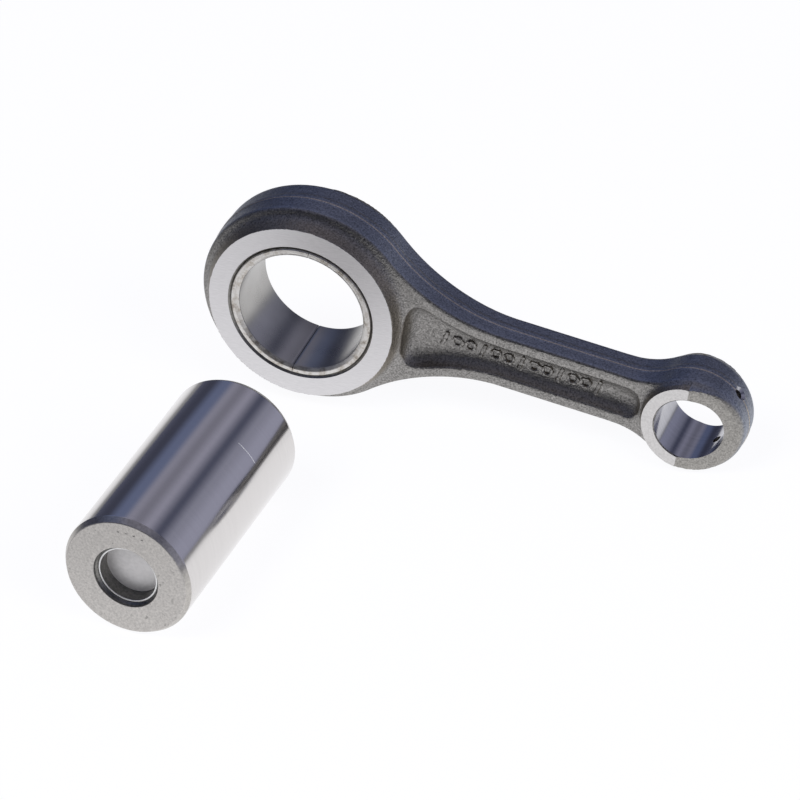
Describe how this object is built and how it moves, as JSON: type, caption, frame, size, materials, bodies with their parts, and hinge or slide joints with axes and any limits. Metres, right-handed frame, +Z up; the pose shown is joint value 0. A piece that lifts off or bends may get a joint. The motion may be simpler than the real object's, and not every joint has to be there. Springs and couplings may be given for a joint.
{
  "type": "connecting rod",
  "caption": "One-piece I-beam connecting rod with split plain big-end bearing shells and a loose hollow crank pin closed by cup plugs.",
  "frame": {"origin": "centre of the big-end bore, half way through the bearing", "axes": "+Y along the big-end bore, away from the side where the crank pin lies; +Z up; +X level, towards the small end, with the rod's long axis sloping down from it by 8.2 degrees as the rod stands on its edge"},
  "size_m": [0.1472, 0.1276, 0.0582],
  "materials": {
    "forged_steel": "shot-blasted forging with machined faces",
    "bearing_metal": "polished lining with rough end faces",
    "ground_steel": "ground and polished, with matt end faces",
    "plug_steel": "satin pressed sheet"
  },
  "bodies": {
    "rod": {"rod_forging": "forged_steel", "bearing_shell_shank_side": "bearing_metal", "bearing_shell_outer_side": "bearing_metal"},
    "crank_pin": {"crank_pin": "ground_steel", "pin_plug_front": "plug_steel", "pin_plug_rear": "plug_steel"}
  },
  "joints": [
    {"name": "crank_pin_lift", "type": "slide", "parent": "rod", "child": "crank_pin", "axis": [0, 0, 1], "range_m": [0, 0.06]}
  ]
}
